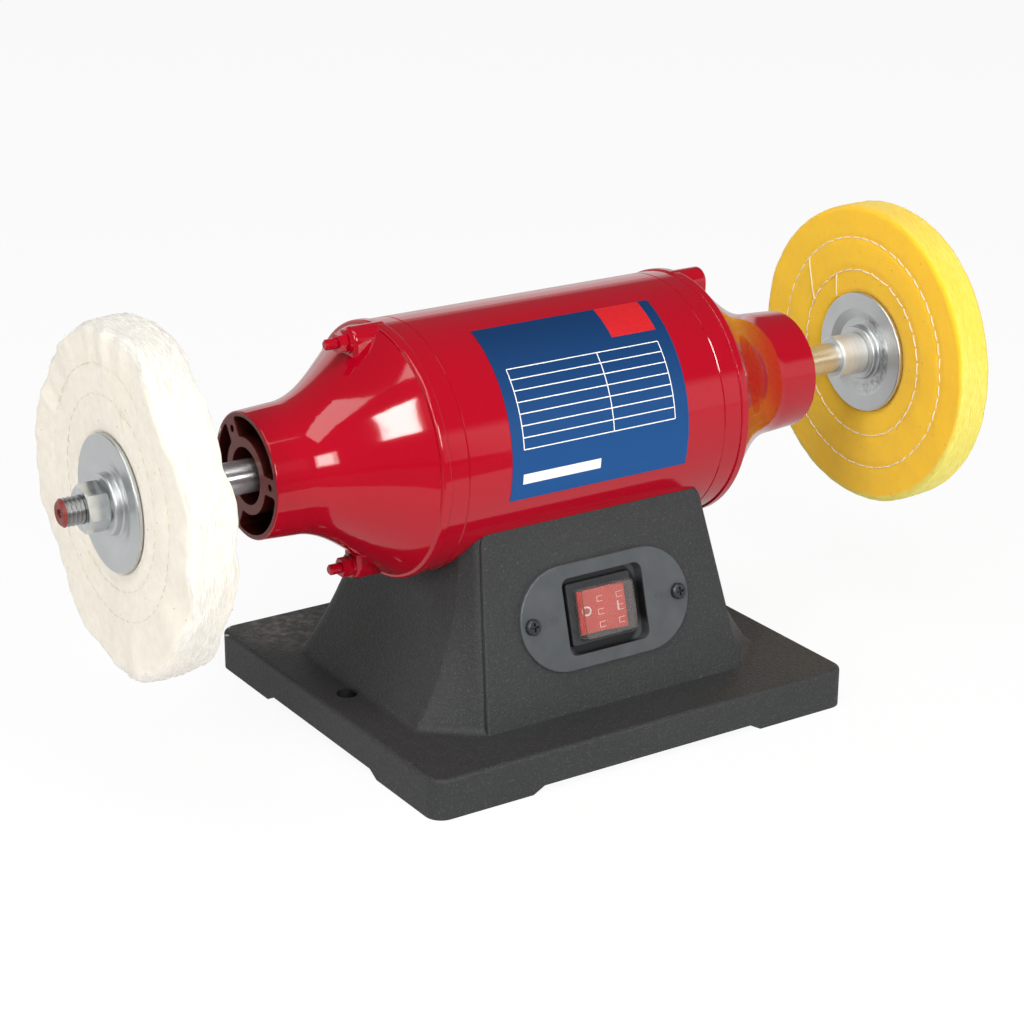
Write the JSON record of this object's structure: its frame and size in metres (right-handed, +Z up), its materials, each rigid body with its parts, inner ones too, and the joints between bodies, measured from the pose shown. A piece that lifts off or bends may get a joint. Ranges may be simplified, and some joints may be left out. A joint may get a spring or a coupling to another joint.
{
  "type": "bench buffer",
  "caption": "Bench buffer: a motor drum with flared end bells on a flared pedestal base, with a cotton buffing wheel at each end of its spindle and a covered rocker switch.",
  "frame": {"origin": "on the bench surface, under the middle of the spindle and of the base plate", "axes": "+X along the spindle towards the yellow wheel, -Y towards the user at the switch, +Z up"},
  "size_m": [0.4734, 0.2024, 0.2103],
  "materials": {
    "base_paint": "dark grey textured paint on an aluminium casting",
    "red_paint": "gloss red paint",
    "grey_plastic": "satin dark grey moulding",
    "black_plastic": "fine grained moulding",
    "red_plastic": "gloss moulding",
    "clear_plastic": "clear moulding",
    "label_film": "printed film",
    "zinc_steel": "zinc plated pressing",
    "ground_steel": "ground bar",
    "screw_steel": "black finish steel",
    "plated_sheet": "plated sheet",
    "bearing_steel": "ground and polished",
    "lamination_steel": "stacked laminations",
    "copper_winding": "varnished winding",
    "cast_aluminium": "as cast",
    "capacitor_can": "moulded can",
    "nylon": "natural nylon",
    "brass_screw": "bright brass",
    "black_rubber": "moulded rubber",
    "white_cotton": "loose cotton leaves",
    "yellow_cotton": "stitched treated cotton leaves"
  },
  "bodies": {
    "frame": {"base_casting": "base_paint", "bottom_cover": "plated_sheet", "bottom_cover_screws": "screw_steel", "cable_grommet": "black_rubber", "capacitor_clamp": "plated_sheet", "capacitor_clamp_screws": "screw_steel", "drum_screws": "screw_steel", "drum_weld_nuts": "screw_steel", "earth_screw": "brass_screw", "lead_grommet": "black_rubber", "left_bearing_outer_ring": "bearing_steel", "left_bearing_seals": "black_rubber", "left_end_bell": "red_paint", "motor_drum": "red_paint", "preload_washer": "screw_steel", "rating_label": "label_film", "right_bearing_outer_ring": "bearing_steel", "right_bearing_seals": "black_rubber", "right_end_bell": "red_paint", "run_capacitor": "capacitor_can", "stator_core": "lamination_steel", "stator_winding": "copper_winding", "switch_body": "black_plastic", "switch_cover": "clear_plastic", "switch_plate": "grey_plastic", "switch_plate_screws": "screw_steel", "switch_terminals": "brass_screw", "terminal_block": "nylon", "tie_rod_nuts": "red_paint", "tie_rods": "red_paint"},
    "spindle": {"spindle": "ground_steel", "rotor_core": "lamination_steel", "rotor_cage": "cast_aluminium", "white_wheel": "white_cotton", "yellow_wheel": "yellow_cotton", "left_bearing_inner_ring": "bearing_steel", "left_bearing_balls": "bearing_steel", "left_bearing_cage": "plated_sheet", "left_spacer_sleeve": "ground_steel", "left_inner_flange": "zinc_steel", "left_outer_flange": "zinc_steel", "left_wheel_nut": "zinc_steel", "right_bearing_inner_ring": "bearing_steel", "right_bearing_balls": "bearing_steel", "right_bearing_cage": "plated_sheet", "right_spacer_sleeve": "ground_steel", "right_inner_flange": "zinc_steel", "right_outer_flange": "zinc_steel", "right_wheel_nut": "zinc_steel"},
    "rocker": {"rocker": "red_plastic"}
  },
  "joints": [
    {"name": "spindle_spin", "type": "hinge", "parent": "frame", "child": "spindle", "pos_m": [0, 0, 0.1353], "axis": [1, 0, 0], "continuous": true},
    {"name": "rocker_press", "type": "hinge", "parent": "frame", "child": "rocker", "pos_m": [0.0003, -0.05803, 0.06009], "axis": [0, 0.2692, 0.9631], "range_deg": [0, 22]}
  ]
}
